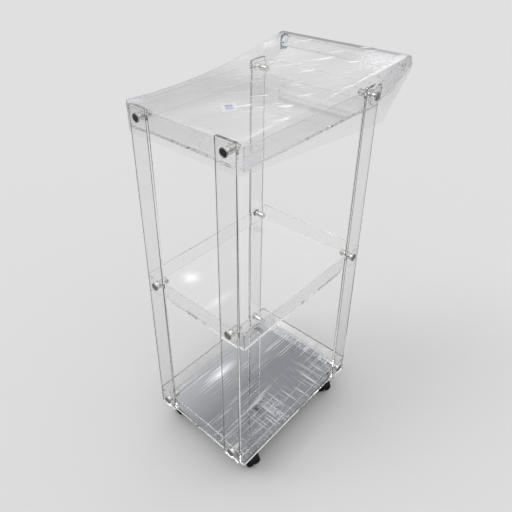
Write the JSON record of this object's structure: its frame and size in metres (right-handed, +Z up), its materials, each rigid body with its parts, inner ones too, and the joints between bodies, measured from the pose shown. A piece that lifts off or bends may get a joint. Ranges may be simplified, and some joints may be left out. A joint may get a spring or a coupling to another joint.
{
  "type": "hospital trolley",
  "caption": "Tall narrow clear acrylic ward trolley: shallow trays on bolted leg strips with chrome stand-offs, a rear push handle, wrap film and swivel casters.",
  "frame": {"origin": "on the floor, below the middle of the trolley's overall width and length", "axes": "+Z up, +X across the trolley to the right of someone facing its front, +Y from the front towards the push handle"},
  "size_m": [0.3966, 0.6136, 1.0953],
  "materials": {
    "clear_acrylic": "clear cast acrylic sheet and rod with polished edges",
    "chrome": "polished chrome plate",
    "grey_mirror": "grey-tinted acrylic mirror sheet",
    "stretch_film": "thin clear stretch film, creased where it pulls",
    "black_nylon": "moulded black nylon",
    "black_steel": "black-finished steel"
  },
  "bodies": {
    "trolley": {"bottom_tray": "clear_acrylic", "middle_tray": "clear_acrylic", "top_tray": "clear_acrylic", "leg_front_left": "clear_acrylic", "leg_front_right": "clear_acrylic", "leg_rear_left": "clear_acrylic", "leg_rear_right": "clear_acrylic", "cap_screw_bottom_front_left": "chrome", "cap_screw_bottom_front_right": "chrome", "cap_screw_bottom_rear_left": "chrome", "cap_screw_bottom_rear_right": "chrome", "cap_screw_middle_front_left": "chrome", "cap_screw_middle_front_right": "chrome", "cap_screw_middle_rear_left": "chrome", "cap_screw_middle_rear_right": "chrome", "cap_screw_top_front_left": "chrome", "cap_screw_top_front_right": "chrome", "cap_screw_top_rear_left": "chrome", "cap_screw_top_rear_right": "chrome", "barrel_nut_bottom_front_left": "chrome", "barrel_nut_bottom_front_right": "chrome", "barrel_nut_bottom_rear_left": "chrome", "barrel_nut_bottom_rear_right": "chrome", "barrel_nut_middle_front_left": "chrome", "barrel_nut_middle_front_right": "chrome", "barrel_nut_middle_rear_left": "chrome", "barrel_nut_middle_rear_right": "chrome", "barrel_nut_top_front_left": "chrome", "barrel_nut_top_front_right": "chrome", "barrel_nut_top_rear_left": "chrome", "barrel_nut_top_rear_right": "chrome", "handle_rod": "clear_acrylic", "handle_arm_left": "clear_acrylic", "handle_arm_right": "clear_acrylic", "base_mirror": "grey_mirror", "wrap_film": "stretch_film", "caster_plate_front_left": "black_steel", "caster_plate_front_right": "black_steel", "caster_plate_rear_left": "black_steel", "caster_plate_rear_right": "black_steel"},
    "caster_front_left": {"caster_hood_front_left": "black_nylon", "caster_axle_front_left": "black_steel"},
    "wheel_a_front_left": {"caster_wheel_a_front_left": "black_nylon"},
    "wheel_b_front_left": {"caster_wheel_b_front_left": "black_nylon"},
    "caster_front_right": {"caster_hood_front_right": "black_nylon", "caster_axle_front_right": "black_steel"},
    "wheel_a_front_right": {"caster_wheel_a_front_right": "black_nylon"},
    "wheel_b_front_right": {"caster_wheel_b_front_right": "black_nylon"},
    "caster_rear_left": {"caster_hood_rear_left": "black_nylon", "caster_axle_rear_left": "black_steel"},
    "wheel_a_rear_left": {"caster_wheel_a_rear_left": "black_nylon"},
    "wheel_b_rear_left": {"caster_wheel_b_rear_left": "black_nylon"},
    "caster_rear_right": {"caster_hood_rear_right": "black_nylon", "caster_axle_rear_right": "black_steel"},
    "wheel_a_rear_right": {"caster_wheel_a_rear_right": "black_nylon"},
    "wheel_b_rear_right": {"caster_wheel_b_rear_right": "black_nylon"}
  },
  "joints": [
    {"name": "caster_swivel_front_left", "type": "hinge", "parent": "trolley", "child": "caster_front_left", "pos_m": [-0.133, -0.2315, 0.05], "axis": [0, 0, 1], "continuous": true},
    {"name": "wheel_a_front_left_spin", "type": "hinge", "parent": "caster_front_left", "child": "wheel_a_front_left", "pos_m": [-0.12474, -0.25367, 0.02], "axis": [0.9925, -0.1219, 0], "continuous": true},
    {"name": "wheel_b_front_left_spin", "type": "hinge", "parent": "caster_front_left", "child": "wheel_b_front_left", "pos_m": [-0.14638, -0.25102, 0.02], "axis": [0.9925, -0.1219, 0], "continuous": true},
    {"name": "caster_swivel_front_right", "type": "hinge", "parent": "trolley", "child": "caster_front_right", "pos_m": [0.133, -0.2315, 0.05], "axis": [0, 0, 1], "continuous": true},
    {"name": "wheel_a_front_right_spin", "type": "hinge", "parent": "caster_front_right", "child": "wheel_a_front_right", "pos_m": [0.15627, -0.22722, 0.02], "axis": [0.2924, 0.9563, 0], "continuous": true},
    {"name": "wheel_b_front_right_spin", "type": "hinge", "parent": "caster_front_right", "child": "wheel_b_front_right", "pos_m": [0.1499, -0.24806, 0.02], "axis": [0.2924, 0.9563, 0], "continuous": true},
    {"name": "caster_swivel_rear_left", "type": "hinge", "parent": "trolley", "child": "caster_rear_left", "pos_m": [-0.133, 0.1385, 0.05], "axis": [0, 0, 1], "continuous": true},
    {"name": "wheel_a_rear_left_spin", "type": "hinge", "parent": "caster_rear_left", "child": "wheel_a_rear_left", "pos_m": [-0.11306, 0.12576, 0.02], "axis": [0.866, 0.5, 0], "continuous": true},
    {"name": "wheel_b_rear_left_spin", "type": "hinge", "parent": "caster_rear_left", "child": "wheel_b_rear_left", "pos_m": [-0.13194, 0.11486, 0.02], "axis": [0.866, 0.5, 0], "continuous": true},
    {"name": "caster_swivel_rear_right", "type": "hinge", "parent": "trolley", "child": "caster_rear_right", "pos_m": [0.133, 0.1385, 0.05], "axis": [0, 0, 1], "continuous": true},
    {"name": "wheel_a_rear_right_spin", "type": "hinge", "parent": "caster_rear_right", "child": "wheel_a_rear_right", "pos_m": [0.15661, 0.13703, 0.02], "axis": [0.515, 0.8572, 0], "continuous": true},
    {"name": "wheel_b_rear_right_spin", "type": "hinge", "parent": "caster_rear_right", "child": "wheel_b_rear_right", "pos_m": [0.14539, 0.11834, 0.02], "axis": [0.515, 0.8572, 0], "continuous": true}
  ]
}
